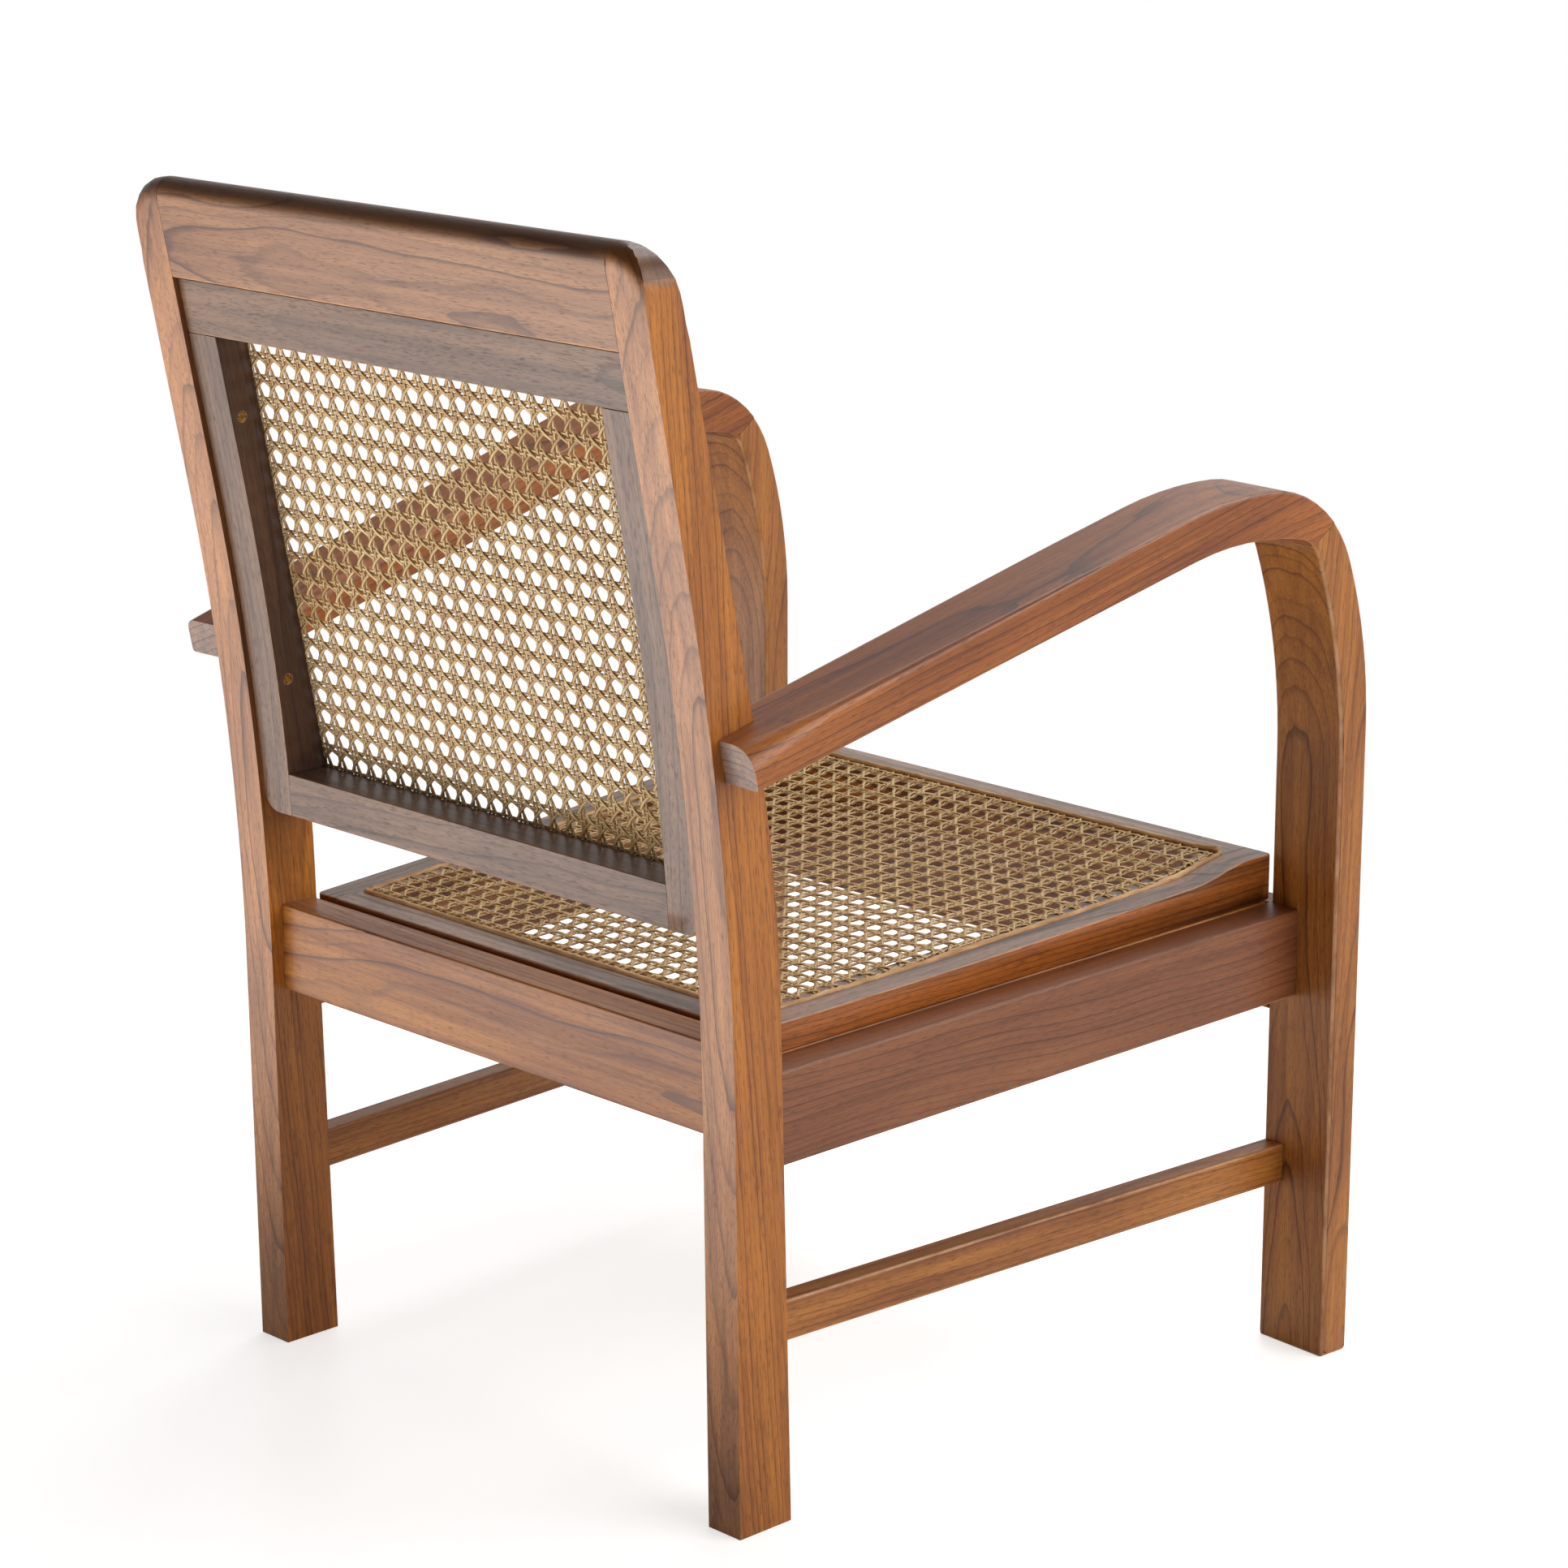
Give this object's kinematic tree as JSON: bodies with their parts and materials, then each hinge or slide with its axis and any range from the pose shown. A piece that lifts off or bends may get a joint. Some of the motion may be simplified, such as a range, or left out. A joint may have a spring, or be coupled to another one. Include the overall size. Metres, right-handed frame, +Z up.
{
  "type": "planters chair",
  "caption": "Low open armchair in teak: arms that turn over a knuckle into the front legs, a raked back with a framed cane panel, and a drop-in cane seat.",
  "frame": {"origin": "on the floor, at the centre of the chair's outline seen from above", "axes": "+Z up, -Y the way the sitter faces, +X to the sitter's left"},
  "size_m": [0.6412, 0.623, 0.8488],
  "materials": {
    "teak": "oiled and waxed reddish brown teak, satin, with darker grain",
    "cane": "natural woven cane, golden tan, satin",
    "reed": "stained round reed, satin",
    "brass": "dull aged brass screws"
  },
  "bodies": {
    "frame": {"rear_leg_left": "teak", "rear_leg_right": "teak", "front_leg_left": "teak", "front_leg_right": "teak", "arm_left": "teak", "arm_right": "teak", "side_rail_left": "teak", "side_rail_right": "teak", "stretcher_left": "teak", "stretcher_right": "teak", "seat_ledge_left": "teak", "seat_ledge_right": "teak", "crest_rail": "teak", "rear_seat_rail": "teak", "front_seat_rail": "teak", "panel_stile_left": "teak", "panel_stile_right": "teak", "panel_top_rail": "teak", "panel_bottom_rail": "teak", "back_cane": "cane", "back_reed_left": "reed", "back_reed_right": "reed", "back_reed_top": "reed", "back_reed_bottom": "reed", "panel_screw_upper_left": "brass", "panel_screw_upper_right": "brass", "panel_screw_lower_left": "brass", "panel_screw_lower_right": "brass"},
    "seat": {"seat_side_member_left": "teak", "seat_side_member_right": "teak", "seat_front_member": "teak", "seat_back_member": "teak", "seat_cane": "cane", "seat_reed_left": "reed", "seat_reed_right": "reed", "seat_reed_front": "reed", "seat_reed_back": "reed"}
  },
  "joints": [
    {"name": "seat_lift", "type": "slide", "parent": "frame", "child": "seat", "axis": [0, 0, 1], "range_m": [0, 0.33]}
  ]
}
